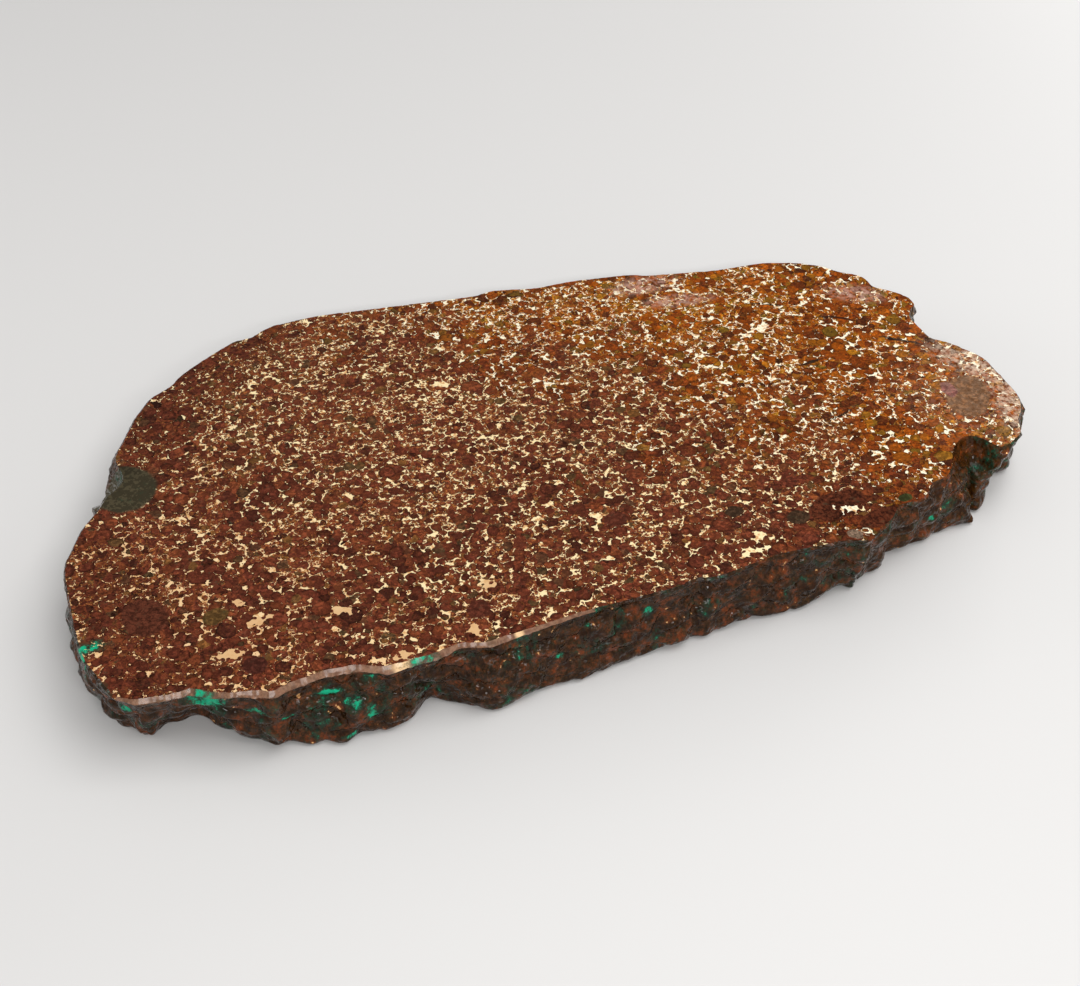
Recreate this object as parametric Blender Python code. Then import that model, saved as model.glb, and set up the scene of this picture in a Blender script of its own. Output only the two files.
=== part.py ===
"""Copper conglomerate slab: one natural stone, sawn flat underneath, ground and polished flat on top.

+X runs along the slab to its broken end, the front is towards -Y, and +Z is up. The origin is under the
middle of the slab's box, on the surface that it rests on. Lengths are in metres.
"""

import bmesh
import bpy
import numpy as np
from mathutils import Vector, noise

MM = 0.001

THICKNESS = 40 * MM
BOX_MIDDLE = (-0.3 * MM, -1.6 * MM)  # the middle of the slab's box in the outline's coordinates
STATIONS = 244  # points around the slab
SIDE_RINGS = 12  # rings of points from the broken edge down to the foot
CORNER_WEAR = 2.2 * MM  # how far the outline's corners are rounded

# The stone's greatest outline seen from above, in millimetres, clockwise.
LEFT_END = (
    (-239, -111), (-248, -84), (-249, -63), (-248, -27), (-246, -18), (-235, 3), (-226, 14),
    (-224, 27), (-221, 38), (-213, 52), (-206, 60), (-195, 80), (-185, 93),
)
BACK = (
    (-172, 100), (-166, 107), (-154, 115), (-133, 127), (-123, 127), (-117, 131), (-110, 134),
    (-85, 135), (4, 124), (14, 126), (39, 120), (60, 120), (94, 115), (102, 111), (141, 103),
    (170, 101), (190, 94), (202, 86),
)
BROKEN_END = (
    (207, 79), (217, 72), (220, 66), (219, 60), (229, 51), (235, 43), (236, 35), (226, 26),
    (228, 6), (236, -1), (247, -18), (248, -33), (249, -52), (245, -69), (234, -83), (219, -92),
)
FRONT = (
    (210, -88), (205, -82), (195, -87), (182, -102), (175, -106), (161, -112), (150, -111),
    (143, -119), (123, -130), (115, -126), (77, -124), (60, -127), (42, -129), (37, -126),
    (25, -129), (-22, -130), (-72, -135), (-83, -131), (-94, -134), (-120, -135), (-132, -129),
    (-146, -128), (-165, -131), (-170, -134), (-178, -130), (-198, -125), (-205, -119),
    (-212, -120), (-230, -118),
)

# Where the foot stands out from under the edge or is cut back under it:
# x, y, how far along the edge it reaches, and how far out it goes, in millimetres.
FOOT_FLARES = (
    (-240, -91, 21, -11),
    (-206, -106, 28, -29),
    (-166, -129, 10, -4),
    (-140, -133, 14, 7),
    (-97, -128, 10, -14),
    (-66, -136, 16, 5),
    (-26, -131, 24, 4),
    (40, -124, 12, 1),
    (58, -124, 14, -4),
    (124, -114, 18, -16),
    (160, -106, 15, -10),
    (178, -102, 9, -5),
    (201, -93, 11, 19),
    (230, -83, 18, -23),
    (236, 20, 16, -10),
    (120, 108, 26, -9),
    (-40, 130, 34, 2),
    (-160, 112, 22, -11),
    (-222, 32, 16, 3),
)
FOOT_SPREAD = 3.0 * MM  # how far the foot stands out everywhere else
FOOT_ROUND = 5.0 * MM  # the radius worn on the lower edge

# The break between the polished face and the side: a ground bevel along the front, a thin arris elsewhere.
ARRIS = 1.0 * MM
FRONT_BEVEL = 3.0 * MM
FRONT_BEVEL_X = (-250 * MM, -35 * MM)
FRONT_BEVEL_FADE = 26 * MM
FRONT_BEVEL_Y = -95 * MM
# Chips out of the upper edge: x, y, reach, how far they cut in, and how deep they go, in millimetres.
EDGE_CHIPS = (
    (-220, 36, 14, 12, 13),
    (207, -88, 11, 9, 17),
    (242, -72, 9, 3, 8),
    (231, 34, 7, 2, 6),
    (176, -107, 8, 4, 9),
)
CHIP_HOLLOW = 0.30  # how far a chip's slope sags between its two edges, as a share of its size

# Relief of the broken sides: slow swells, and lumps parted by creases.
SWELL_SIZE = 34 * MM
SWELL_DEPTH = 3.0 * MM
LUMP_SIZE = 17 * MM
LUMP_DEPTH = 5.0 * MM
LUMP_LEVEL = 0.36  # the share of a lump's depth that lies outside the outline's surface
LUMP_FLATNESS = 1.5  # lumps are this much wider than they are tall
RELIEF_STARTS = 7 * MM  # the relief grows to its full depth this far below the edge


def smoothstep(values):
    """0 below 0, 1 above 1, and a smooth rise between."""
    t = np.clip(values, 0.0, 1.0)
    return t * t * (3.0 - 2.0 * t)


def closed_curve(corners, count, softness):
    """Points spaced evenly along a closed polygon whose corners are rounded by softness."""
    loop = np.vstack([corners, corners[:1]])
    lengths = np.r_[0.0, np.cumsum(np.linalg.norm(np.diff(loop, axis=0), axis=1))]
    fine_count = int(lengths[-1] / (0.5 * MM))
    along = np.arange(fine_count) * lengths[-1] / fine_count
    fine = np.stack([np.interp(along, lengths, loop[:, axis]) for axis in (0, 1)], axis=1)
    frequency = np.fft.fftfreq(fine_count, lengths[-1] / fine_count)
    blur = np.exp(-2.0 * (np.pi * frequency * softness) ** 2)
    fine = np.fft.ifft(np.fft.fft(fine, axis=0) * blur[:, None], axis=0).real
    picks = np.arange(count) * fine_count / count
    wrapped = np.vstack([fine, fine[:1]])
    return np.stack([np.interp(picks, np.arange(fine_count + 1), wrapped[:, axis])
                     for axis in (0, 1)], axis=1)


def outward_normals(curve):
    """Unit normals in plan of a clockwise closed curve, pointing away from the stone."""
    along = np.roll(curve, -1, axis=0) - np.roll(curve, 1, axis=0)
    normals = np.stack([-along[:, 1], along[:, 0]], axis=1)
    return normals / np.linalg.norm(normals, axis=1)[:, None]


def near(plan, x, y, reach):
    """1 at a place on the outline, fading to 0 beyond its reach."""
    away = np.hypot(plan[:, 0] - x * MM, plan[:, 1] - y * MM)
    return np.exp(-((away / (reach * MM)) ** 2))


def foot_flare(plan):
    """How far the foot stands out from the edge above it at each station."""
    named = sum(near(plan, x, y, reach) * out * MM for x, y, reach, out in FOOT_FLARES)
    return FOOT_SPREAD + named


def edge_break(plan):
    """The width in plan, drop and hollow of the break along the upper edge at each station."""
    start, end = FRONT_BEVEL_X
    bevel = (
        smoothstep((plan[:, 0] - start) / FRONT_BEVEL_FADE)
        * smoothstep((end - plan[:, 0]) / FRONT_BEVEL_FADE + 1.0)
        * smoothstep((FRONT_BEVEL_Y - plan[:, 1]) / FRONT_BEVEL_FADE + 0.5)
    )
    width = ARRIS + (FRONT_BEVEL - ARRIS) * bevel
    drop = width.copy()
    hollow = np.zeros(len(plan))
    for x, y, reach, cut, depth in EDGE_CHIPS:
        chip = near(plan, x, y, reach)
        width += chip * cut * MM
        drop += chip * depth * MM
        hollow += chip * CHIP_HOLLOW
    return width, drop, hollow


def relief(x, y, z):
    """How far the broken rock stands out at a point of its side."""
    place = Vector((x, y, z))
    swell = noise.fractal(place / SWELL_SIZE, 1.0, 2.0, 2)
    first, second = noise.voronoi(Vector((x, y, z * LUMP_FLATNESS)) / LUMP_SIZE)[0][:2]
    return SWELL_DEPTH * swell + LUMP_DEPTH * (second - first - LUMP_LEVEL)


def side_ring(plan, normals, flare, height):
    """One ring of points around the side, each at its own height."""
    down = 1.0 - height / THICKNESS
    wear = 1.0 - np.sqrt(1.0 - np.clip(1.0 - height / FOOT_ROUND, 0.0, 1.0) ** 2)
    rock = np.array([relief(x, y, z) for (x, y), z in zip(plan, height)])
    rock *= smoothstep((THICKNESS - height) / RELIEF_STARTS)
    out = flare * smoothstep(down) + rock - wear * FOOT_ROUND
    return np.column_stack([plan + normals * out[:, None], height])


def slab_rings():
    """The slab's surface as rings of points, from the rim of the polished face to the foot."""
    corners = np.array(LEFT_END + BACK + BROKEN_END + FRONT, float) * MM
    plan = closed_curve(corners, STATIONS, CORNER_WEAR)
    normals = outward_normals(closed_curve(corners, STATIONS, 4 * CORNER_WEAR))
    flare = foot_flare(plan)
    width, drop, hollow = edge_break(plan)
    rings = []
    for share in (0.0, 0.5):
        inset = width * (1.0 - share) + width * hollow * share
        fall = drop * share * (1.0 + hollow)
        rings.append(np.column_stack([plan - normals * inset[:, None], THICKNESS - fall]))
    for level in range(SIDE_RINGS):
        height = (THICKNESS - drop) * (1.0 - level / (SIDE_RINGS - 1))
        rings.append(side_ring(plan, normals, flare, height))
    return [ring - (*BOX_MIDDLE, 0.0) for ring in rings]


def conglomerate():
    """The stone's overall finish: dark red-brown rock with metal in its pores."""
    material = bpy.data.materials.new("conglomerate")
    material.use_nodes = True
    shader = material.node_tree.nodes["Principled BSDF"]
    shader.inputs["Base Color"].default_value = (0.17, 0.055, 0.035, 1.0)
    shader.inputs["Roughness"].default_value = 0.32
    shader.inputs["Metallic"].default_value = 0.1
    return material


def make_slab():
    """One closed solid: polished face, broken edge, lumpy sides and flat underside."""
    mesh = bpy.data.meshes.new("slab")
    surface = bmesh.new()
    rings = [[surface.verts.new(point) for point in ring] for ring in slab_rings()]
    for upper, lower in zip(rings, rings[1:]):
        for here in range(STATIONS):
            after = (here + 1) % STATIONS
            surface.faces.new((upper[after], lower[after], lower[here], upper[here]))
    surface.faces.new(rings[0])
    surface.faces.new(reversed(rings[-1]))
    bmesh.ops.recalc_face_normals(surface, faces=surface.faces)
    surface.to_mesh(mesh)
    surface.free()
    mesh.shade_smooth()
    mesh.set_sharp_from_angle(angle=np.radians(32))
    mesh.materials.append(conglomerate())
    slab = bpy.data.objects.new("slab", mesh)
    bpy.context.scene.collection.objects.link(slab)
    return slab


for leftover in list(bpy.data.objects):
    bpy.data.objects.remove(leftover)
make_slab()
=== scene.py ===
import math
from collections import namedtuple

import bmesh
import bpy
import numpy as np
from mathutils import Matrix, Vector, noise


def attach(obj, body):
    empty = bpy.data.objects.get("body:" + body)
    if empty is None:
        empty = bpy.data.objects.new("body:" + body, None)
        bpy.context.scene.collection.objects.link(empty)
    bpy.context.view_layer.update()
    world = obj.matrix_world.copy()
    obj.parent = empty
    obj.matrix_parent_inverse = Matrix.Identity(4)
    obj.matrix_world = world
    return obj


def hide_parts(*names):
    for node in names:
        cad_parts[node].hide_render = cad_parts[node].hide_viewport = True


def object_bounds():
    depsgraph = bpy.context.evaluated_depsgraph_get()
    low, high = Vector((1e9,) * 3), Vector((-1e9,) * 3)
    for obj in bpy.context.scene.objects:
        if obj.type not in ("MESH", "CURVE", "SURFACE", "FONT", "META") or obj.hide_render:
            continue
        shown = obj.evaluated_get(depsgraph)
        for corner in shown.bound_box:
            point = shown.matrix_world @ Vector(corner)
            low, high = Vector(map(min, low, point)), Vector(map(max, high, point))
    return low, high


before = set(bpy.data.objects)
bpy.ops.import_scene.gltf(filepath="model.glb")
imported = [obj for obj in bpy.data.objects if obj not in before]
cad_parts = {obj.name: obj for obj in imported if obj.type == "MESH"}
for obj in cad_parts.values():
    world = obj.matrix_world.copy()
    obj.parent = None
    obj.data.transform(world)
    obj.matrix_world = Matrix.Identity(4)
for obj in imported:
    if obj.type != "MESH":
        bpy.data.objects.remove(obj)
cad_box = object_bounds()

MM = 0.001

# ---------------------------------------------------------------------------------------------------
# Form: the CAD slab's outline and slow relief, sampled finely, with pebbles and grain on its break.
# ---------------------------------------------------------------------------------------------------

THICKNESS = round(cad_box[1][2], 6)  # the CAD slab's own
BOX_MIDDLE = (-0.3 * MM, -1.6 * MM)  # the middle of the slab's box in the outline's coordinates
STATIONS = 1700  # points around the slab
SIDE_RINGS = 48  # rings of points from the broken edge down to the foot
BREAK_RINGS = 4  # rings of points across the break along the upper edge
OUTLINE_STEP = 0.5 * MM  # the outline is rounded off in steps of this length
CORNER_WEAR = 2.2 * MM  # how softly its corners are rounded
NORMAL_WEAR = 4 * CORNER_WEAR  # and how softly for the directions that the relief stands out in
SHARP_ANGLE = math.radians(40)  # edges that turn more than this look sharp
FACE, GROUND, BROKEN, SAWN = range(4)  # the order of the stone's materials

# The corners of the CAD slab's outline in millimetres, clockwise from the left end's front corner.
LEFT_END = (
    (-239, -111), (-248, -84), (-249, -63), (-248, -27), (-246, -18), (-235, 3), (-226, 14),
    (-224, 27), (-221, 38), (-213, 52), (-206, 60), (-195, 80), (-185, 93),
)
BACK = (
    (-172, 100), (-166, 107), (-154, 115), (-133, 127), (-123, 127), (-117, 131), (-110, 134),
    (-85, 135), (4, 124), (14, 126), (39, 120), (60, 120), (94, 115), (102, 111), (141, 103),
    (170, 101), (190, 94), (202, 86),
)
BROKEN_END = (
    (207, 79), (217, 72), (220, 66), (219, 60), (229, 51), (235, 43), (236, 35), (226, 26),
    (228, 6), (236, -1), (247, -18), (248, -33), (249, -52), (245, -69), (234, -83), (219, -92),
)
FRONT = (
    (210, -88), (205, -82), (195, -87), (182, -102), (175, -106), (161, -112), (150, -111),
    (143, -119), (123, -130), (115, -126), (77, -124), (60, -127), (42, -129), (37, -126),
    (25, -129), (-22, -130), (-72, -135), (-83, -131), (-94, -134), (-120, -135), (-132, -129),
    (-146, -128), (-165, -131), (-170, -134), (-178, -130), (-198, -125), (-205, -119),
    (-212, -120), (-230, -118),
)

# x, y, how far along the edge it reaches, and how far out the foot goes there, in millimetres.
# They are the CAD's, but for the first four, which shape the left end's front corner more finely.
FOOT_FLARES = (
    (-245, -84, 18, -5), (-234, -106, 9, -14), (-224, -119, 9, -4), (-206, -106, 28, -27),
    (-166, -129, 10, -4), (-140, -133, 14, 7),
    (-97, -128, 10, -14), (-66, -136, 16, 5), (-26, -131, 24, 4), (40, -124, 12, 1),
    (58, -124, 14, -4), (124, -114, 18, -16), (160, -106, 15, -10), (178, -102, 9, -5),
    (201, -93, 11, 19), (230, -83, 18, -23), (236, 20, 16, -10), (120, 108, 26, -9),
    (-40, 130, 34, 2), (-160, 112, 22, -11), (-222, 32, 16, 3),
)
FOOT_SPREAD = 3.0 * MM
FOOT_ROUND = 5.0 * MM

ARRIS = 1.0 * MM  # the upper edge's break where it isn't ground to a bevel
FRONT_BEVEL = 2.6 * MM
FRONT_BEVEL_X = (-243 * MM, 20 * MM)  # where it starts, and where it has run out
FRONT_BEVEL_FADE = 26 * MM  # it grows to its full width over this length
FRONT_BEVEL_TAPER = 170 * MM  # and narrows over this length towards the broken end
FRONT_BEVEL_Y = -95 * MM
BEVEL_WAVER = 0.7  # how far its width wanders, as a share
BEVEL_WAVER_SIZE = 11 * MM
BEVEL_SHOWS = 0.12  # the share of its full width from which it wears its own finish
# x, y, reach, how far a chip cuts in, and how deep it goes, in millimetres
EDGE_CHIPS = (
    (-220, 36, 14, 12, 13), (207, -88, 11, 9, 17), (242, -72, 9, 3, 8), (231, 34, 7, 2, 6),
    (176, -107, 8, 4, 9),
)
CHIP_HOLLOW = 0.30  # how far a chip sags between its edges, as a share of its size

SWELL_SIZE = 34 * MM
SWELL_DEPTH = 3.0 * MM
LUMP_SIZE = 17 * MM
LUMP_DEPTH = 5.0 * MM
LUMP_LEVEL = 0.36  # what is above this level of the cells stands out, and what is below goes in
LUMP_FLATNESS = 1.5  # how much wider a lump is than it is tall
RELIEF_STARTS = 7 * MM  # the relief grows to its full depth this far below the face

# What the CAD doesn't have: pebbles standing out of the break, their sockets, grain, a nibbled edge.
BROKEN_PEBBLES = ((7.0 * MM, 1.1 * MM), (3.4 * MM, 0.6 * MM))  # spacing, and how far they stand out
PEBBLE_RADIUS = 0.58  # as a share of the spacing
SOCKET_SHARE = 0.75  # the deepest socket against the proudest pebble
LOT_SCATTER = 9.7  # makes neighbouring pebbles' lots unlike one another
WANDER_SIZE = 4 * MM  # the pebbles' outlines wander in waves of this size,
WANDER_REACH = 1.2  # and by about this many millimetres
WANDER_SHIFTS = (Vector((9.3, -1.5, -7.9)), Vector((-5.1, 4.2, 2.6)), Vector((3.7, 8.8, -0.4)))
GRAIN_SIZE = 1.9 * MM
GRAIN_DEPTH = 0.20 * MM
FINE_STARTS = 3 * MM  # the fine relief grows to its full depth this far below the face
FINE_ENDS = 8 * MM  # and fades towards the foot from this height down,
FINE_AT_FOOT = 0.3  # to this share of its depth
NIBBLE_SIZE = 3.2 * MM
NIBBLE_DEPTH = 0.35 * MM
NIBBLE_SLICE = 0.3  # the height at which the noise is read for it, well away from the stone's own


def smoothstep(values):
    """0 below 0, 1 above 1, and a smooth rise between."""
    share = np.clip(values, 0.0, 1.0)
    return share * share * (3.0 - 2.0 * share)


def closed_curve(corners, count, softness):
    """Points spaced evenly along a closed polygon whose corners are rounded by softness."""
    loop = np.vstack([corners, corners[:1]])
    lengths = np.r_[0.0, np.cumsum(np.linalg.norm(np.diff(loop, axis=0), axis=1))]
    fine_count = int(lengths[-1] / OUTLINE_STEP)
    along = np.arange(fine_count) * lengths[-1] / fine_count
    fine = np.stack([np.interp(along, lengths, loop[:, axis]) for axis in (0, 1)], axis=1)
    frequency = np.fft.fftfreq(fine_count, lengths[-1] / fine_count)
    blur = np.exp(-2.0 * (np.pi * frequency * softness) ** 2)
    fine = np.fft.ifft(np.fft.fft(fine, axis=0) * blur[:, None], axis=0).real
    picks = np.arange(count) * fine_count / count
    wrapped = np.vstack([fine, fine[:1]])
    return np.stack([np.interp(picks, np.arange(fine_count + 1), wrapped[:, axis])
                     for axis in (0, 1)], axis=1)


def outward_normals(curve):
    """Unit normals in plan of a clockwise closed curve, pointing away from the stone."""
    along = np.roll(curve, -1, axis=0) - np.roll(curve, 1, axis=0)
    normals = np.stack([-along[:, 1], along[:, 0]], axis=1)
    return normals / np.linalg.norm(normals, axis=1)[:, None]


def near(plan, x, y, reach):
    """1 at a place on the outline, fading to 0 beyond its reach."""
    away = np.hypot(plan[:, 0] - x * MM, plan[:, 1] - y * MM)
    return np.exp(-((away / (reach * MM)) ** 2))


def fractal(place, size, smoothness, octaves):
    """Noise about 0, with waves of the given size and finer ones, each half as long as the last."""
    return noise.fractal(place / size, smoothness, 2.0, octaves)


def wander(place):
    """A vector that changes slowly from place to place, the same on every run."""
    return Vector([noise.noise(place + shift) for shift in WANDER_SHIFTS])


def foot_flare(plan):
    """How far the foot stands out from the edge above it at each station."""
    named = sum(near(plan, x, y, reach) * out * MM for x, y, reach, out in FOOT_FLARES)
    return FOOT_SPREAD + named


def front_bevel(plan):
    """1 where the upper edge is ground to a bevel, fading to 0 where it has only a thin arris."""
    start, end = FRONT_BEVEL_X
    return (
        smoothstep((plan[:, 0] - start) / FRONT_BEVEL_FADE)
        * smoothstep((end - plan[:, 0]) / FRONT_BEVEL_TAPER)
        * smoothstep((FRONT_BEVEL_Y - plan[:, 1]) / FRONT_BEVEL_FADE + 0.5)
    )


def edge_break(plan, bevel):
    """The width in plan, drop and hollow of the break along the upper edge at each station."""
    waver = np.array([noise.noise(Vector((x, y, 0.0)) / BEVEL_WAVER_SIZE) for x, y in plan])
    width = ARRIS + (FRONT_BEVEL - ARRIS) * bevel * (1.0 + BEVEL_WAVER * waver)
    drop = width.copy()
    hollow = np.zeros(len(plan))
    for x, y, reach, cut, depth in EDGE_CHIPS:
        chip = near(plan, x, y, reach)
        width += chip * cut * MM
        drop += chip * depth * MM
        hollow += chip * CHIP_HOLLOW
    return width, drop, hollow


def coarse_relief(place):
    """The CAD's own relief: slow swells, and lumps parted by creases."""
    swell = fractal(place, SWELL_SIZE, 1.0, 2)
    flat = Vector((place.x, place.y, place.z * LUMP_FLATNESS))
    first, second = noise.voronoi(flat / LUMP_SIZE)[0][:2]
    return SWELL_DEPTH * swell + LUMP_DEPTH * (second - first - LUMP_LEVEL)


def fine_relief(place):
    """Pebbles and the sockets they left, on a grainy break."""
    bent = place + wander(place / WANDER_SIZE) * WANDER_REACH * MM
    relief = GRAIN_DEPTH * fractal(place, GRAIN_SIZE, 0.9, 3)
    for spacing, stands in BROKEN_PEBBLES:
        distances, centres, *_ = noise.voronoi(bent / spacing)
        dome = max(0.0, 1.0 - (distances[0] / PEBBLE_RADIUS) ** 2)
        lot = noise.cell(centres[0] * LOT_SCATTER)
        relief += stands * dome * (lot if lot > 0.0 else SOCKET_SHARE * lot)
    return relief


def side_ring(plan, normals, flare, height):
    """One ring of points around the side, each at its own height."""
    down = 1.0 - height / THICKNESS
    wear = 1.0 - np.sqrt(1.0 - np.clip(1.0 - height / FOOT_ROUND, 0.0, 1.0) ** 2)
    coarse_share = smoothstep((THICKNESS - height) / RELIEF_STARTS)
    fine_share = FINE_AT_FOOT + (1.0 - FINE_AT_FOOT) * smoothstep(height / FINE_ENDS)
    fine_share = smoothstep((THICKNESS - height) / FINE_STARTS) * fine_share
    spots = [Vector((x, y, z)) for (x, y), z in zip(plan, height)]
    rock = np.array([coarse_relief(spot) for spot in spots]) * coarse_share
    rock += np.array([fine_relief(spot) for spot in spots]) * fine_share
    out = flare * smoothstep(down) + rock - wear * FOOT_ROUND
    return np.column_stack([plan + normals * out[:, None], height])


def slab_rings():
    """The surface as rings of points, from the face's rim to the foot, and the bevel at each station."""
    corners = np.array(LEFT_END + BACK + BROKEN_END + FRONT, float) * MM
    plan = closed_curve(corners, STATIONS, CORNER_WEAR)
    normals = outward_normals(closed_curve(corners, STATIONS, NORMAL_WEAR))
    flare = foot_flare(plan)
    bevel = front_bevel(plan)
    width, drop, hollow = edge_break(plan, bevel)
    edge = [Vector((x, y, NIBBLE_SLICE)) for x, y in plan]
    nibble = np.array([fractal(place, NIBBLE_SIZE, 0.8, 3) for place in edge])
    rings = []
    for ring in range(BREAK_RINGS):
        share = ring / BREAK_RINGS
        sag = 4.0 * share * (1.0 - share) * hollow
        inset = width * (1.0 - share + 0.5 * sag) + NIBBLE_DEPTH * nibble
        fall = drop * (share + 0.5 * sag)
        rings.append(np.column_stack([plan - normals * inset[:, None], THICKNESS - fall]))
    for level in range(SIDE_RINGS):
        height = (THICKNESS - drop) * (1.0 - level / (SIDE_RINGS - 1))
        rings.append(side_ring(plan, normals, flare, height))
    return [ring - (*BOX_MIDDLE, 0.0) for ring in rings], bevel


def add_object(name, data):
    """Puts a mesh, light or camera into the scene."""
    added = bpy.data.objects.new(name, data)
    bpy.context.scene.collection.objects.link(added)
    return added


def make_slab(materials):
    """One closed mesh: polished face, broken edge, lumpy sides and flat underside."""
    mesh = bpy.data.meshes.new("stone")
    surface = bmesh.new()
    places, bevel = slab_rings()
    rings = [[surface.verts.new(point) for point in ring] for ring in places]
    for row, (upper, lower) in enumerate(zip(rings, rings[1:])):
        for here in range(STATIONS):
            after = (here + 1) % STATIONS
            quad = surface.faces.new((upper[after], lower[after], lower[here], upper[here]))
            on_bevel = row < BREAK_RINGS and bevel[here] > BEVEL_SHOWS
            quad.material_index = GROUND if on_bevel else BROKEN
    surface.faces.new(rings[0]).material_index = FACE
    surface.faces.new(reversed(rings[-1])).material_index = SAWN
    bmesh.ops.recalc_face_normals(surface, faces=surface.faces)
    surface.to_mesh(mesh)
    surface.free()
    mesh.shade_smooth()
    mesh.set_sharp_from_angle(angle=SHARP_ANGLE)
    for material in materials:
        mesh.materials.append(material)
    return add_object("stone", mesh)


# ---------------------------------------------------------------------------------------------------
# Finish: one pattern of pebbles and metal through the whole stone, in its own coordinates.
# Its sizes and places are in millimetres.
# ---------------------------------------------------------------------------------------------------

# Pebble colours by lot: the stone's brick reds, and the ochres of its stained end.
BRICK_COLOURS = (
    (0.00, (0.056, 0.015, 0.009)), (0.12, (0.090, 0.021, 0.011)), (0.40, (0.120, 0.027, 0.014)),
    (0.70, (0.145, 0.033, 0.015)), (0.88, (0.172, 0.043, 0.016)), (0.93, (0.096, 0.036, 0.018)),
    (0.97, (0.074, 0.042, 0.018)), (1.00, (0.190, 0.074, 0.020)),
)
OCHRE_COLOURS = (
    (0.00, (0.080, 0.018, 0.005)), (0.20, (0.160, 0.029, 0.004)), (0.50, (0.255, 0.048, 0.003)),
    (0.78, (0.335, 0.070, 0.003)), (0.90, (0.300, 0.102, 0.006)), (0.96, (0.160, 0.086, 0.009)),
    (1.00, (0.430, 0.156, 0.008)),
)
# The broken side's smeared colours: its own dark stone, made darker still as painted shade.
BREAK_COLOURS_SHADED = (
    (0.00, (0.004, 0.002, 0.001)), (0.44, (0.009, 0.005, 0.001)), (0.51, (0.026, 0.014, 0.004)),
    (0.57, (0.068, 0.022, 0.006)), (0.64, (0.150, 0.032, 0.007)), (1.00, (0.240, 0.070, 0.012)),
)
BRICK_MATRIX = (0.120, 0.031, 0.014)
OCHRE_MATRIX = (0.370, 0.108, 0.004)
RUST = (0.34, 0.130, 0.030)
GOLD = (0.62, 0.330, 0.050)
SOOT = (0.022, 0.012, 0.008)
# painted sheen: the pinkish grey of light reflected off the polish
PAINTED_SHEEN = (0.52, 0.31, 0.24)
# painted highlight: the pale glints of light on the broken right end's rim, also used as painted sheen
# over that end
PAINTED_HIGHLIGHT_PALE = (0.66, 0.49, 0.36)
SAW_DUST = (0.16, 0.09, 0.06)
# painted sheen on the bevel, from its darker to its paler grey
BEVEL_SHEEN_DARK = (0.14, 0.075, 0.047)
BEVEL_SHEEN_PALE = (0.28, 0.160, 0.100)
COPPER_DULL = (0.74, 0.40, 0.16)
COPPER_BROAD = (0.73, 0.44, 0.21)
COPPER_TAN = (0.90, 0.60, 0.32)
COPPER_GOLD = (1.00, 0.82, 0.47)
# painted highlight: the near-white of light falling on the copper at the stained right end
COPPER_HIGHLIGHT = (1.00, 0.93, 0.70)
MALACHITE_DARK = (0.006, 0.038, 0.022)
MALACHITE = (0.004, 0.360, 0.185)

# Places: x, y, z, then the half-widths, and the turn in degrees.
COARSE_ZONES = (
    (-165, -98, 40, 85, 36, 90, -12), (205, -5, 40, 50, 75, 90, 10), (105, -100, 40, 85, 24, 90, 18),
)
FINE_ZONES = (
    (-60, 36, 40, 70, 26, 90, -6), (-118, 92, 40, 55, 26, 90, 25), (40, 98, 40, 75, 20, 90, -10),
    (-60, -22, 40, 34, 16, 90, 0),
)
RED_GROUND = (
    (-226, -55, 40, 20, 40, 60, 0), (-212, -104, 40, 26, 12, 60, 0), (-172, 84, 40, 80, 22, 60, 40),
    (136, -104, 40, 34, 14, 40, 14),
)
DENSE_METAL = (
    (-52, 61, 40, 9, 6, 30, 0), (73, -113, 40, 13, 6, 30, 10), (142, 44, 40, 13, 9, 30, 0),
    (238, -12, 40, 9, 14, 30, 40), (110, 30, 40, 22, 12, 30, -10),
)
METAL_PATCHES = (
    (-174, -70, 40, 4, 3.5, 3, 30), (-166, -84, 40, 7, 3, 3, 10), (-183, -101, 40, 9, 3.5, 3, 5),
    (-127, -91, 40, 7, 3, 3, -20), (-110, -127, 40, 6, 3, 3, 0), (-74, -122, 40, 5, 4, 3, 40),
    (-37, 55, 40, 7, 3, 3, -25), (-60, -95, 40, 6, 3.5, 3, -30), (144, 46, 40, 8, 4, 3, 10),
    (66, -115, 40, 6, 4, 3, 20), (76, -107, 40, 3, 6, 3, -20), (125, -103, 40, 9, 3, 3, -15),
)
# Single pebbles big or odd enough to know the stone by, each with its colour and how mottled it is.
KNOWN_PEBBLES = (
    ((-210, 27, 34, 17, 18, 22, 5), (0.056, 0.045, 0.025), 0.08),
    ((-216, -65, 36, 11, 13, 14, 10), (0.104, 0.029, 0.015), 0.5),
    ((-174, -111, 38, 6, 6, 6, 0), (0.070, 0.019, 0.012), 0.3),
    ((14, -73, 38, 6, 6, 6, 0), (0.095, 0.024, 0.013), 0.3),
    ((-68, -110, 38, 6, 6, 6, 0), (0.095, 0.024, 0.013), 0.3),
    ((-185, -75, 38, 7, 5, 6, 20), (0.110, 0.056, 0.017), 0.3),
    ((121, -99, 36, 17, 10, 12, 12), (0.084, 0.021, 0.009), 0.7),
    ((137, -114, 36, 13, 6, 12, 14), (0.098, 0.024, 0.010), 0.6),
    ((99, -101, 38, 6, 5, 6, 0), (0.052, 0.027, 0.014), 0.3),
    ((71, -87, 38, 5, 4, 6, 0), (0.052, 0.027, 0.014), 0.3),
    ((155, -105, 38, 4, 3, 5, 0), (0.060, 0.062, 0.018), 0.3),
    ((223, -44, 34, 12.5, 19, 16, -28), (0.205, 0.094, 0.042), 0.25),
    ((216, -36, 39, 4, 7, 5, 0), (0.230, 0.085, 0.070), 0.4),
    ((120, -121, 39, 4, 3, 5, -30), (0.230, 0.150, 0.100), 0.5),
)
KNOWN_ON_SIDE = KNOWN_PEBBLES[:1]  # the one whose dark body also shows in the broken side
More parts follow.
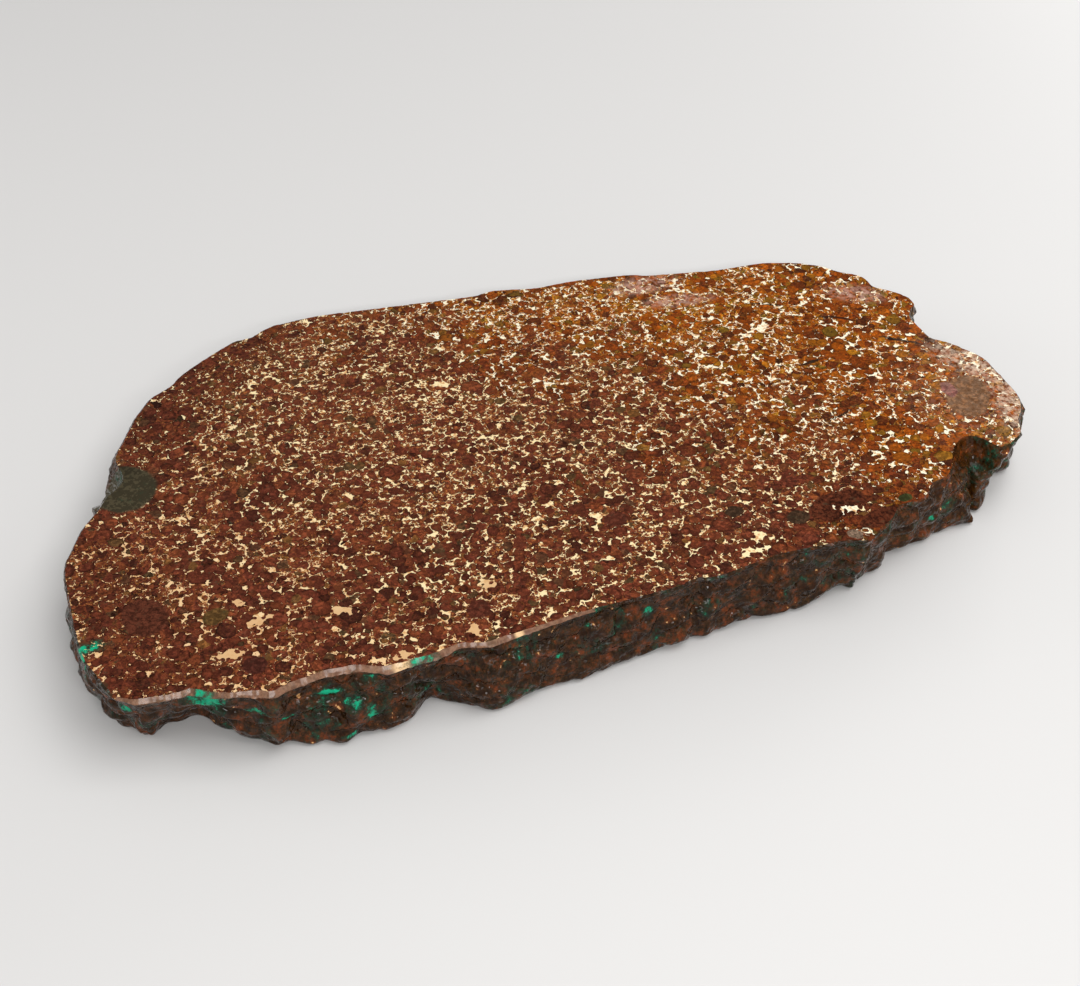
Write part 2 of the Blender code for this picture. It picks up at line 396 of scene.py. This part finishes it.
# where painted sheen lies on the face towards the back right
PAINTED_SHEEN_PATCHES = (
    (207, 58, 40, 15, 7, 12, -30), (111, 84, 40, 18, 5, 12, -8), (97, 104, 40, 18, 7, 12, 0),
)
# where painted glints lie along the rim of the right end
PAINTED_GLINT_PATCHES = ((238, -20, 40, 8, 24, 12, 30), (243, -54, 40, 8, 25, 12, -16))
# painted sheen washed thinly over the right end
PAINTED_SHEEN_END = ((228, -46, 40, 32, 50, 12, 0),)
# where each painted sheen and glint lies, its colour, and how thickly it covers the face at most
FACE_PAINTED_LIGHT = ((PAINTED_SHEEN_PATCHES, PAINTED_SHEEN, 0.72), (PAINTED_GLINT_PATCHES, PAINTED_HIGHLIGHT_PALE, 0.72), (PAINTED_SHEEN_END, PAINTED_HIGHLIGHT_PALE, 0.11))
FISSURES = (
    (153, -37, 40, 9, 0.8, 9, 20), (211, 11, 40, 12, 1.0, 9, -35), (157, 9, 40, 8, 1.2, 9, 5),
    (155, 65, 40, 9, 0.9, 9, -25), (188, 40, 40, 10, 0.9, 9, -30),
)
FACE_MALACHITE = ((-244, -76, 40, 8, 4, 5, 0),)
SIDE_MALACHITE = (
    (-201, -117, 34, 9, 9, 6, 0), (-243, -78, 37, 6, 8, 5, 0), (-234, -107, 28, 3, 6, 3, 0),
    (-178, -126, 27, 8, 7, 1.6, 0), (-166, -129, 22, 4, 7, 1.4, 0), (-134, -133, 23, 5, 7, 4, 0),
    (-128, -133, 16, 3, 6, 5, 0), (-138, -135, 5, 4, 6, 1.6, 0), (-147, -130, 30, 8, 6, 1.4, 0),
    (-21, -128, 31, 2, 7, 1.6, 0), (10, -127, 29, 3, 7, 3, 0), (-35, -131, 19, 3, 6, 1.4, 0),
    (173, -104, 20, 2, 6, 2, 0),
)
BEVEL_MALACHITE = ((-102, -130, 39, 8, 6, 4, 0), (-200, -120, 39, 6, 6, 4, 0))
COPPER_CROSSING = ((-111, -131, 39, 4, 6, 4, 0), (-55, -131, 39, 2, 6, 4, 0))

# One layer of pebbles in each row, the biggest first: their spacing, the least radius and how much it
# varies as shares of that, how many of them are there in coarse and in fine ground, and a shift that
# sets the layers apart. All of the smallest are there.
PEBBLE_LAYERS = (
    (9.5, 0.44, 0.24, (0.40, 0.02), 11.0),
    (5.2, 0.52, 0.22, (0.80, 0.20), 37.0),
    (2.9, 0.52, 0.20, (0.80, 0.70), 73.0),
    (1.2, 0.52, 0.16, None, 131.0),
)
BEND_SIZE = 5.0  # the pebbles' outlines bend in waves of this size,
BEND_REACH = 2.4  # by up to half this much each way,
FRAY_SIZE = 1.1  # and fray in finer ones
FRAY_REACH = 0.6
DRIFT_SIZE = 26.0  # how slowly coarse ground gives way to fine, and brick red to ochre
FINENESS = 0.28  # how fine the ground is outside the zones, from 0 for coarse to 1
FINE_ZONES_ADD = 0.55
COARSE_ZONES_TAKE = 0.30
DRIFT_ADDS = 0.22  # or takes away, as the drift goes
STAIN_HEADING = (0.75, 0.65, 0.0)  # the stain gets stronger this way,
STAIN_STRAYS = 40.0  # and its edge strays by up to this much
OCHRE_SPAN = (-20.0, 150.0)  # where along that way brick red turns to ochre
GOLD_SPAN = (-190.0, -70.0)  # where the copper turns from tan to gold
BROAD_SPAN = (-60.0, -150.0)  # and where its patches turn to the duller copper,
BROAD_MOST = 0.8  # up to this share
MOTTLE_SIZE = 1.7
MOTTLE_SHADES = (0.66, 1.46)  # the darkest and the lightest that mottling makes the rock
RIM_WIDTH = 0.13  # a pebble's rim is dark over this share of the spacing
RIM_SHADES = (0.42, 1.08)  # how dark it starts, and the shade that it ends in
KNOWN_RIM = 0.06  # how soft a known pebble's outline is
RUST_SIZE = 0.9  # the rust and gold grains between the pebbles
RUST_LEVELS = (0.54, 0.64)
SOOT_SIZE = 1.5
SOOT_LEVELS = (0.42, 0.34)

# The noise that it takes for copper to show, in coarse ground and in fine: as blobs in the pores, as
# specks between the finest pebbles, and as arcs that hug a pebble.
BLOB_SIZE = 4.2
BLOB_LEVELS = (0.548, 0.63)
SPECK_SIZE = 2.2
SPECK_LEVELS = (0.61, 0.55)
ARC_LEVELS = (0.512, 0.478)
ARC_REACH = 0.08  # as a share of the pebbles' spacing
FINE_FROM = 0.30  # specks and arcs take ground this fine for wholly fine
DENSE_METAL_ADDS = 0.09
RED_GROUND_TAKES = 0.08
PATCH_LEVEL = 0.57
PATCH_PEBBLES = (0.6, 0.9)  # how far middling and small pebbles break up a patch
TARNISH_SIZE = 2.5
TARNISH_LEVELS = (0.36, 0.52)
METAL_SHADOW = (-0.035, -0.004)  # the rock darkens beside metal between these levels,
METAL_SHADOW_SHADE = 0.58  # to this shade
RED_GROUND_SHADE = 0.72

MALACHITE_SIZE = 3.4
MALACHITE_PLACE_ADDS = 0.33
MALACHITE_DARK_LEVELS = (0.56, 0.76)
MALACHITE_LEVELS = (0.74, 0.92)
WILD_SIZE = 18.0
WILD_LEVELS = (0.48, 0.66)
SIDE_WILD = 0.165  # how much malachite the broken side has apart from the listed places

# Sockets by number: a Texture Coordinate's object place, and a colour Mix's inputs and output.
OBJECT_PLACE = 3
MIX_FACTOR, MIX_FIRST, MIX_SECOND, MIX_RESULT = 0, 6, 7, 2

Layer = namedtuple("Layer", "lies lot rim there")


class Field:
    """A value that varies through the stone: a socket of a material's nodes, with its arithmetic."""

    def __init__(self, graph, socket):
        self.graph = graph
        self.socket = socket

    def __add__(self, other):
        return self.graph.math("ADD", self, other)

    def __sub__(self, other):
        return self.graph.math("SUBTRACT", self, other)

    def __rsub__(self, other):
        return self.graph.math("SUBTRACT", other, self)

    def __mul__(self, other):
        return self.graph.math("MULTIPLY", self, other)

    def __gt__(self, other):
        return self.graph.math("GREATER_THAN", self, other)

    def __lt__(self, other):
        return self.graph.math("LESS_THAN", self, other)

    __radd__ = __add__
    __rmul__ = __mul__


class Graph:
    """A material and its nodes: each call adds a node and gives back the field that it makes."""

    def __init__(self, name):
        self.material = bpy.data.materials.new(name)
        self.material.use_nodes = True
        self.tree = self.material.node_tree
        place = self.fields(self.node("ShaderNodeTexCoord"))[OBJECT_PLACE]
        self.mm = self.scaled(place, 1.0 / MM)

    def node(self, kind, inputs=None, **settings):
        made = self.tree.nodes.new(kind)
        for key, value in settings.items():
            setattr(made, key, value)
        for name, value in (inputs or {}).items():
            self.put(made.inputs[name], value)
        return made

    def fields(self, node):
        """A node's outputs, in their order."""
        return [Field(self, socket) for socket in node.outputs]

    def put(self, socket, value):
        """Feeds an input with a field, a colour or a number."""
        if isinstance(value, Field):
            self.tree.links.new(value.socket, socket)
        elif socket.type == "RGBA":
            socket.default_value = (*value, 1.0)
        else:
            socket.default_value = value

    def math(self, operation, first, second):
        return self.fields(self.node("ShaderNodeMath", {0: first, 1: second}, operation=operation))[0]

    def most(self, first, *rest):
        """The highest of some fields."""
        for value in rest:
            first = self.math("MAXIMUM", first, value)
        return first

    def vector(self, operation, first, second=(0.0, 0.0, 0.0)):
        """Arithmetic on places. A length or a dot product is a number, and the rest are places."""
        made = self.node("ShaderNodeVectorMath", {0: first, 1: second}, operation=operation)
        place, number = self.fields(made)
        return number if operation in ("LENGTH", "DOT_PRODUCT") else place

    def scaled(self, place, factor):
        made = self.node("ShaderNodeVectorMath", {0: place, "Scale": factor}, operation="SCALE")
        return self.fields(made)[0]

    def ramp(self, value, low, high, bottom=0.0, top=1.0):
        """A smooth rise from bottom to top while the value goes from low to high."""
        sockets = {"Value": value, "From Min": low, "From Max": high, "To Min": bottom, "To Max": top}
        return self.fields(self.node("ShaderNodeMapRange", sockets, interpolation_type="SMOOTHSTEP"))[0]

    def mix(self, factor, first, second, blend="MIX"):
        """The first colour where the factor is 0, and the second where it is 1."""
        sockets = {MIX_FACTOR: factor, MIX_FIRST: first, MIX_SECOND: second}
        made = self.node("ShaderNodeMix", sockets, data_type="RGBA", blend_type=blend)
        return self.fields(made)[MIX_RESULT]

    def shade(self, colour, factor):
        """A colour made lighter or darker."""
        grey = self.fields(self.node("ShaderNodeCombineColor", {0: factor, 1: factor, 2: factor}))[0]
        return self.mix(1.0, colour, grey, "MULTIPLY")

    def noise(self, size, detail=2.0, rough=0.5, colour=False):
        """Noise from 0 to 1 in waves of the given size, or three of them as a colour."""
        sockets = {"Vector": self.mm, "Scale": 1.0 / size, "Detail": detail, "Roughness": rough}
        number, three = self.fields(self.node("ShaderNodeTexNoise", sockets))
        return three if colour else number

    def palette(self, value, stops):
        """The colour that the stops give for a value."""
        made = self.node("ShaderNodeValToRGB", {0: value})
        ramp = made.color_ramp
        while len(ramp.elements) < len(stops):
            ramp.elements.new(1.0)
        for element, (position, colour) in zip(ramp.elements, stops):
            element.position = position
            element.color = (*colour, 1.0)
        return self.fields(made)[0]

    def spot(self, place, soft, x, y, z, wide, deep, tall, turn):
        """1 inside an ellipsoid turned in plan and 0 outside, with a rim as wide as soft says."""
        sockets = {"Vector": place, "Location": (x, y, z), "Scale": (wide, deep, tall),
                   "Rotation": (0.0, 0.0, math.radians(turn))}
        inner = self.fields(self.node("ShaderNodeMapping", sockets, vector_type="TEXTURE"))[0]
        return self.ramp(self.vector("LENGTH", inner), 1.0 + soft, 1.0 - soft)

    def spots(self, place, soft, rows):
        return self.most(*[self.spot(place, soft, *row) for row in rows])

    def finished(self, looks):
        """The material, once its shader is fed with the looks named."""
        shader = self.tree.nodes["Principled BSDF"]
        for name, value in looks.items():
            self.put(shader.inputs[name], value)
        return self.material


class Conglomerate(Graph):
    """A material cut from the stone, with the fields that shape its pebbles, its rock and its metal."""

    def __init__(self, name):
        super().__init__(name)
        bend = self.sway(BEND_SIZE, BEND_REACH, 1.0, 0.5)
        fray = self.sway(FRAY_SIZE, FRAY_REACH, 2.0, 0.6)
        self.place = self.vector("ADD", self.mm, self.vector("ADD", bend, fray))
        self.drift = self.noise(DRIFT_SIZE)
        fine = FINENESS + FINE_ZONES_ADD * self.spots(self.mm, 0.5, FINE_ZONES)
        fine = fine - COARSE_ZONES_TAKE * self.spots(self.mm, 0.5, COARSE_ZONES)
        self.fine = fine + self.ramp(self.drift, 0.35, 0.65, DRIFT_ADDS, -DRIFT_ADDS)
        strays = self.ramp(self.drift, 0.3, 0.7, -STAIN_STRAYS, STAIN_STRAYS)
        self.stain = self.vector("DOT_PRODUCT", self.mm, STAIN_HEADING) + strays
        self.ochre = self.ramp(self.stain, *OCHRE_SPAN)
        self.mottle = self.noise(MOTTLE_SIZE, 3.0, 0.75)
        self.layers = [self.pebbles(*row) for row in PEBBLE_LAYERS]
        self.rock = self.cut_rock()

    def sway(self, size, reach, detail, rough):
        """A move to and fro that changes from place to place, in waves of the given size."""
        wave = self.vector("SUBTRACT", self.noise(size, detail, rough, colour=True), (0.5, 0.5, 0.5))
        return self.scaled(wave, reach)

    def pebbles(self, spacing, radius, varies, shares, shift):
        """A layer: where pebbles lie, their lots, how far inside the rim a place is, and their cells."""
        moved = self.vector("ADD", self.place, (shift, 0.7 * shift, 1.3 * shift))
        cells = self.node("ShaderNodeTexVoronoi", {"Vector": moved, "Scale": 1.0 / spacing})
        distance, colour, *_ = self.fields(cells)
        lot, girth, chance = self.fields(self.node("ShaderNodeSeparateColor", {0: colour}))
        rim = radius + girth * varies - distance
        there = chance < (self.ramp(self.fine, 0.0, 1.0, *shares) if shares else 1.0)
        return Layer((rim > 0.0) * there, lot, rim, there)

    def cut_rock(self):
        """The colour of pebbles in their matrix, with grains of gold and soot between them."""
        rock = self.mix(self.ochre, BRICK_MATRIX, OCHRE_MATRIX)
        for layer in reversed(self.layers):
            brick = self.palette(layer.lot, BRICK_COLOURS)
            tone = self.mix(self.ochre, brick, self.palette(layer.lot, OCHRE_COLOURS))
            tone = self.shade(tone, self.ramp(layer.rim, 0.0, RIM_WIDTH, *RIM_SHADES))
            rock = self.mix(layer.lies, rock, tone)
        big, middling, *_ = self.layers
        loose = 1.0 - self.most(big.lies, middling.lies)
        gold = self.ramp(self.noise(RUST_SIZE, 2.0, 0.7), *RUST_LEVELS) * (0.20 + 0.75 * loose)
        gold = gold * self.ramp(self.fine, 0.0, 0.35, 0.6, 1.0)
        soot = self.ramp(self.noise(SOOT_SIZE, 3.0, 0.75), *SOOT_LEVELS)
        soot = soot * self.ramp(self.ochre, 0.0, 0.5, 0.7, 0.95)
        rock = self.mix(gold, rock, self.mix(self.ochre, RUST, GOLD))
        rock = self.shade(rock, self.ramp(self.mottle, 0.3, 0.7, *MOTTLE_SHADES))
        return self.mix(soot, rock, SOOT)

    def known_pebbles(self, rock, rows):
        """The rock with the listed pebbles laid over it, and where they lie."""
        places = []
        for row, colour, mottling in rows:
            lies = self.spot(self.place, KNOWN_RIM, *row)
            tone = self.ramp(self.mottle, 0.32, 0.68, 1.0 - mottling, 1.0 + mottling)
            rock = self.mix(lies, rock, self.shade(colour, tone))
            places.append(lies)
        return rock, self.most(*places)

    def red_ground(self):
        """1 where the rock is darker and has little metal."""
        return self.spots(self.mm, 0.4, RED_GROUND)

    def native_copper(self, known, red):
        """Where the pores between pebbles hold metal, how near a place is to it, and its colour."""
        big, middling, small, tiny = self.layers
        solid = self.most(known, big.lies, middling.lies, small.lies)
        hug = self.most(*[layer.there * (layer.rim > -ARC_REACH) for layer in (big, middling, small)])
        lean = self.noise(SPECK_SIZE, 2.0, 0.55)
        rich = 0.75 * self.noise(BLOB_SIZE, 1.0) + 0.25 * self.drift
        rich = rich + DENSE_METAL_ADDS * self.spots(self.mm, 0.35, DENSE_METAL)
        poor = RED_GROUND_TAKES * red
        blobs = rich - (self.ramp(self.fine, 0.0, 1.0, *BLOB_LEVELS) + poor)
        specks = lean - 0.8 * tiny.rim - (self.ramp(self.fine, 0.0, FINE_FROM, *SPECK_LEVELS) + poor)
        arcs = hug * lean - (self.ramp(self.fine, 0.0, FINE_FROM, *ARC_LEVELS) + poor)
        level = self.most(blobs, specks, arcs)
        middling_breaks, small_breaks = PATCH_PEBBLES
        patches = self.spots(self.place, 0.8, METAL_PATCHES) - middling_breaks * middling.rim
        patches = (patches - small_breaks * small.rim) > PATCH_LEVEL
        copper = self.most((1.0 - solid) * (level > 0.0), patches)
        bright = self.mix(self.ramp(self.stain, *GOLD_SPAN), COPPER_TAN, COPPER_GOLD)
        # painted highlight: the copper turns near-white towards the stained right end
        bright = self.mix(self.ramp(self.ochre, 0.0, 0.5), bright, COPPER_HIGHLIGHT)
        clean = self.ramp(self.noise(TARNISH_SIZE, 2.0, 0.6), *TARNISH_LEVELS)
        broad = patches * self.ramp(self.stain, *BROAD_SPAN, 0.0, BROAD_MOST)
        return copper, level, self.mix(broad, self.mix(clean, COPPER_DULL, bright), COPPER_BROAD)

    def malachite(self, rock, rows, wild=0.0):
        """Green over the rock in ragged patches at the places listed, and here and there in the wild."""
        cover = MALACHITE_PLACE_ADDS * self.spots(self.mm, 0.8, rows)
        cover = cover + self.noise(MALACHITE_SIZE, 5.0, 0.75)
        if wild:
            cover = cover + wild * self.ramp(self.noise(WILD_SIZE, 1.0), *WILD_LEVELS)
        rock = self.mix(self.ramp(cover, *MALACHITE_DARK_LEVELS, 0.0, 0.70), rock, MALACHITE_DARK)
        return self.mix(self.ramp(cover, *MALACHITE_LEVELS, 0.0, 0.95), rock, MALACHITE)


def polished_face():
    """The face: pebbles, metal in the pores, fissures, a fleck of green, and painted sheen and glints at
    the back right and the right end.
    """
    cut = Conglomerate("polished_face")
    rock, known = cut.known_pebbles(cut.rock, KNOWN_PEBBLES)
    rock = cut.mix(cut.spots(cut.place, 0.3, FISSURES) * 0.9, rock, SOOT)
    red = cut.red_ground()
    copper, level, metal = cut.native_copper(known, red)
    shadow = cut.ramp(level, *METAL_SHADOW, 1.0, METAL_SHADOW_SHADE)
    rock = cut.shade(rock, shadow * cut.ramp(red, 0.0, 1.0, 1.0, RED_GROUND_SHADE))
    colour = cut.mix(copper, cut.malachite(rock, FACE_MALACHITE), metal)
    ragged = cut.ramp(cut.noise(3.0, 3.0, 0.7), 0.34, 0.70)
    # painted sheen and glints laid over the face
    for rows, dust_and_sheen, most in FACE_PAINTED_LIGHT:
        colour = cut.mix(cut.spots(cut.mm, 0.6, rows) * ragged * most, colour, dust_and_sheen)
    return cut.finished({
        "Base Color": colour,
        "Metallic": copper * 0.5,
        "Roughness": cut.ramp(copper, 0.0, 1.0, 0.22, 0.36),
        "Specular IOR Level": 0.03,
    })


def ground_bevel():
    """The bevel: a painted pinkish-grey sheen over the rock, crossed here and there by copper and green.
    """
    cut = Conglomerate("ground_bevel")
    # painted sheen: the pinkish grey of light reflected off the bevel, laid over most of the rock
    bevel_sheen = cut.mix(cut.ramp(cut.noise(2.5, 3.0, 0.7), 0.35, 0.65), BEVEL_SHEEN_DARK, BEVEL_SHEEN_PALE)
    crossing = cut.spots(cut.place, 0.6, COPPER_CROSSING) * 0.8
    colour = cut.mix(crossing, cut.mix(0.80, cut.rock, bevel_sheen), COPPER_TAN)
    return cut.finished({
        "Base Color": cut.malachite(colour, BEVEL_MALACHITE),
        "Roughness": 0.20,
        "Specular IOR Level": 0.15,
    })


def broken_side():
    """The broken side: smeared dark and rusty, darkened partly as painted shade, with malachite, a little
    bare copper, and a fine grain.
    """
    cut = Conglomerate("broken_side")
    smear = cut.palette(cut.noise(7.0, 5.0, 0.75), BREAK_COLOURS_SHADED)
    # the face's rock at half its shade under the smear: dark stone and painted shade both
    rock = cut.mix(0.80, cut.shade(cut.rock, 0.5), smear)
    rock, known = cut.known_pebbles(rock, KNOWN_ON_SIDE)
    rock = cut.malachite(rock, SIDE_MALACHITE, SIDE_WILD)
    middling, small = cut.layers[1:3]
    pores = (1.0 - middling.lies) * (1.0 - small.lies)
    bare = pores * (cut.noise(3.5) > 0.70)
    grain = {"Height": cut.noise(3.4, 1.0, 0.4), "Strength": 1.0, "Distance": 2.0 * MM}
    return cut.finished({
        "Base Color": cut.mix(bare, rock, COPPER_DULL),
        "Metallic": bare * 0.6,
        "Roughness": 0.09 - known * 0.02,
        "Specular IOR Level": 0.16,
        "Normal": cut.fields(cut.node("ShaderNodeBump", grain))[0],
    })


def sawn_underside():
    """The underside: the cut rock and its copper, dull and dusty from the saw."""
    cut = Conglomerate("sawn_underside")
    copper, *_ = cut.native_copper(0.0, cut.red_ground())
    dust_and_sheen = cut.ramp(cut.noise(14.0, 4.0, 0.6), 0.35, 0.65, 0.10, 0.35)
    dusty = cut.mix(dust_and_sheen, cut.rock, SAW_DUST)
    return cut.finished({
        "Base Color": cut.mix(copper, dusty, COPPER_DULL),
        "Metallic": copper * 0.5,
        "Roughness": 0.55,
        "Specular IOR Level": 0.20,
    })


# ---------------------------------------------------------------------------------------------------
# Stage: a pale floor, soft lights, and the camera.
# ---------------------------------------------------------------------------------------------------

FLOOR_REACH = 6
FLOOR_COLOUR = (0.60, 0.59, 0.58, 1.0)
FLOOR_ROUGHNESS = 0.6
WORLD_COLOUR = (1.0, 1.0, 1.0, 1.0)
WORLD_STRENGTH = 0.55

# name, place, the point that it is aimed at, width, height and power
LIGHTS = (
    ("overhead", (0.50, -0.30, 1.4), (0.05, 0.0, 0.0), 1.4, 1.1, 15.0),
    ("back_right", (1.25, 0.95, 0.40), (0.10, 0.0, 0.03), 0.7, 0.4, 6.0),
    ("front_strip", (-0.20, -1.13, 0.92), (0.0, 0.0, 0.02), 0.60, 0.06, 7.0),
    ("back_left", (-1.15, 0.55, 0.40), (-0.20, 0.0, 0.03), 0.6, 0.4, 3.0),
)

CAMERA_PLACE = (-0.24306, -0.70581, 0.67107)
CAMERA_TURN = math.radians(19)  # clockwise from +Y
CAMERA_FALL = math.radians(42)  # below level
SENSOR_WIDTH = 36  # in millimetres
PHOTO_WIDTH = 1080  # in pixels
FOCAL_PIXELS = 1900  # the photo's focal length in its own pixels
CAMERA_LENS = FOCAL_PIXELS / PHOTO_WIDTH * SENSOR_WIDTH


def make_floor():
    reach = FLOOR_REACH
    corners = [(-reach, -reach, 0), (reach, -reach, 0), (reach, reach, 0), (-reach, reach, 0)]
    mesh = bpy.data.meshes.new("floor")
    mesh.from_pydata(corners, [], [(0, 1, 2, 3)])
    material = bpy.data.materials.new("pale_floor")
    material.use_nodes = True
    shader = material.node_tree.nodes["Principled BSDF"]
    shader.inputs["Base Color"].default_value = FLOOR_COLOUR
    shader.inputs["Roughness"].default_value = FLOOR_ROUGHNESS
    mesh.materials.append(material)
    return add_object("floor", mesh)


def aim(thing, place, target):
    """Puts a light or the camera at a place, looking at the target with its top upwards."""
    thing.location = place
    thing.rotation_euler = (Vector(target) - Vector(place)).to_track_quat("-Z", "Y").to_euler()


def make_light(name, place, target, wide, tall, power):
    light = bpy.data.lights.new(name, "AREA")
    light.shape = "RECTANGLE"
    light.size = wide
    light.size_y = tall
    light.energy = power
    aim(add_object(name, light), place, target)


def make_world():
    world = bpy.data.worlds.new("studio")
    world.use_nodes = True
    background = world.node_tree.nodes["Background"]
    background.inputs["Color"].default_value = WORLD_COLOUR
    background.inputs["Strength"].default_value = WORLD_STRENGTH
    bpy.context.scene.world = world


def make_camera():
    camera = bpy.data.cameras.new("camera")
    camera.sensor_width = SENSOR_WIDTH
    camera.lens = CAMERA_LENS
    holder = add_object("camera", camera)
    level = math.cos(CAMERA_FALL)
    ahead = (math.sin(CAMERA_TURN) * level, math.cos(CAMERA_TURN) * level, -math.sin(CAMERA_FALL))
    aim(holder, CAMERA_PLACE, Vector(CAMERA_PLACE) + Vector(ahead))
    bpy.context.scene.camera = holder


stone = make_slab([polished_face(), ground_bevel(), broken_side(), sawn_underside()])
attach(stone, "root")
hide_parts("slab")

floor = make_floor()
make_world()
for row in LIGHTS:
    make_light(*row)
make_camera()
bpy.context.scene.view_settings.view_transform = "Standard"
